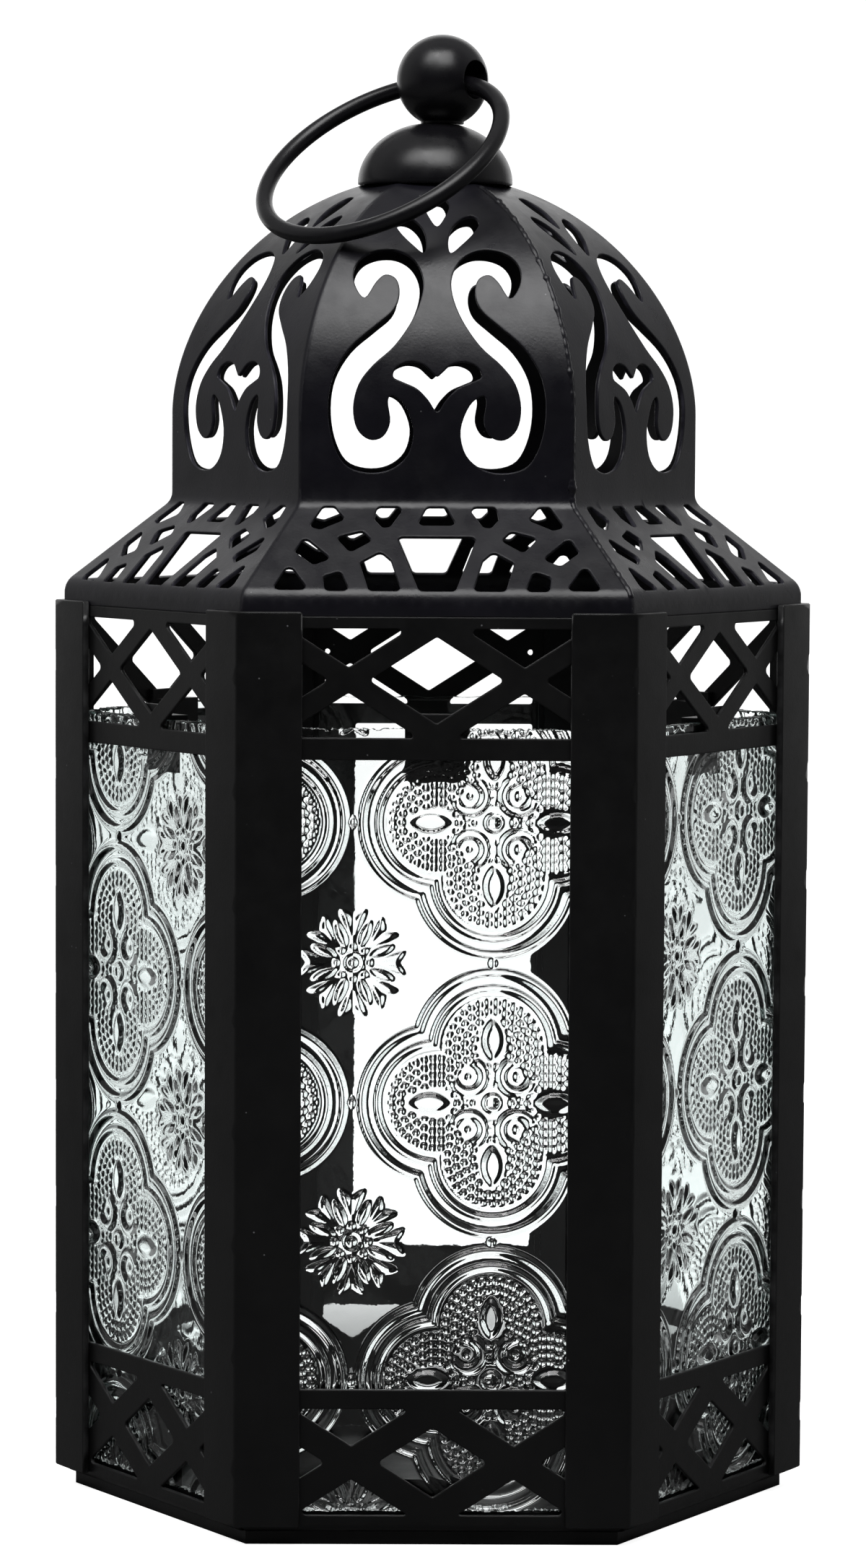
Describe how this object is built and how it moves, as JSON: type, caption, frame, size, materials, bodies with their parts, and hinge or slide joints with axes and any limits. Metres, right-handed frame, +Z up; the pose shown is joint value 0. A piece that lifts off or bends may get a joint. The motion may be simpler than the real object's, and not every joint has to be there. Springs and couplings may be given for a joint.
{
  "type": "moroccan metal lantern",
  "caption": "Hexagonal metal candle lantern with pressed glass panes, lattice skirt, scrollwork dome, rear door and a carrying ring.",
  "frame": {"origin": "centre of the underside of the base pan, on the surface the lantern stands on", "axes": "+Z up through the finial; +Y towards the rear door; the hexagon's corners lie on +X and -X"},
  "size_m": [0.14, 0.1296, 0.2691],
  "materials": {
    "wall_paint": "satin black powder coat",
    "roof_paint": "satin black powder coat, slightly bluish, over folded and welded sheet",
    "finial_paint": "satin black paint",
    "pressed_glass": "clear pressed pattern glass with a slight green tint at the edges",
    "zinc_steel": "zinc plated"
  },
  "bodies": {
    "lantern": {"base_pan": "wall_paint", "corner_post_1": "wall_paint", "corner_post_2": "wall_paint", "corner_post_3": "wall_paint", "corner_post_4": "wall_paint", "corner_post_5": "wall_paint", "corner_post_6": "wall_paint", "wall_panel_1": "wall_paint", "wall_panel_2": "wall_paint", "wall_panel_3": "wall_paint", "wall_panel_4": "wall_paint", "wall_panel_5": "wall_paint", "glass_pane_1": "pressed_glass", "glass_pane_2": "pressed_glass", "glass_pane_3": "pressed_glass", "glass_pane_4": "pressed_glass", "glass_pane_5": "pressed_glass", "glass_clips": "wall_paint", "roof_panel_1": "roof_paint", "roof_panel_2": "roof_paint", "roof_panel_3": "roof_paint", "roof_panel_4": "roof_paint", "roof_panel_5": "roof_paint", "roof_panel_6": "roof_paint", "roof_weld_beads": "roof_paint", "dome_cap": "finial_paint", "cap_weld_beads": "finial_paint", "clamp_washer": "wall_paint", "clamp_nut": "zinc_steel", "finial_stud": "zinc_steel", "finial_ball": "finial_paint", "door_header": "wall_paint", "door_sill": "wall_paint", "door_jambs": "wall_paint", "hinge_post_leaves": "wall_paint", "hinge_pins": "zinc_steel", "button_stud": "zinc_steel"},
    "door": {"door_leaf": "wall_paint", "door_glass": "pressed_glass", "door_clips": "wall_paint", "door_knob": "wall_paint", "hinge_door_leaves": "wall_paint"},
    "ring": {"carry_ring": "finial_paint"},
    "button": {"turn_button": "wall_paint"}
  },
  "joints": [
    {"name": "door_hinge", "type": "hinge", "parent": "lantern", "child": "door", "pos_m": [-0.0234, 0.06212, 0.085], "axis": [0, 0, 1], "range_deg": [0, 110]},
    {"name": "ring_swing", "type": "hinge", "parent": "lantern", "child": "ring", "pos_m": [0.0012, 0, 0.2607], "axis": [-0.788, 0.6157, 0], "range_deg": [0, 250]},
    {"name": "button_turn", "type": "hinge", "parent": "lantern", "child": "button", "pos_m": [0.0265, 0.06127, 0.095], "axis": [0, 1, 0], "range_deg": [0, 90]}
  ]
}
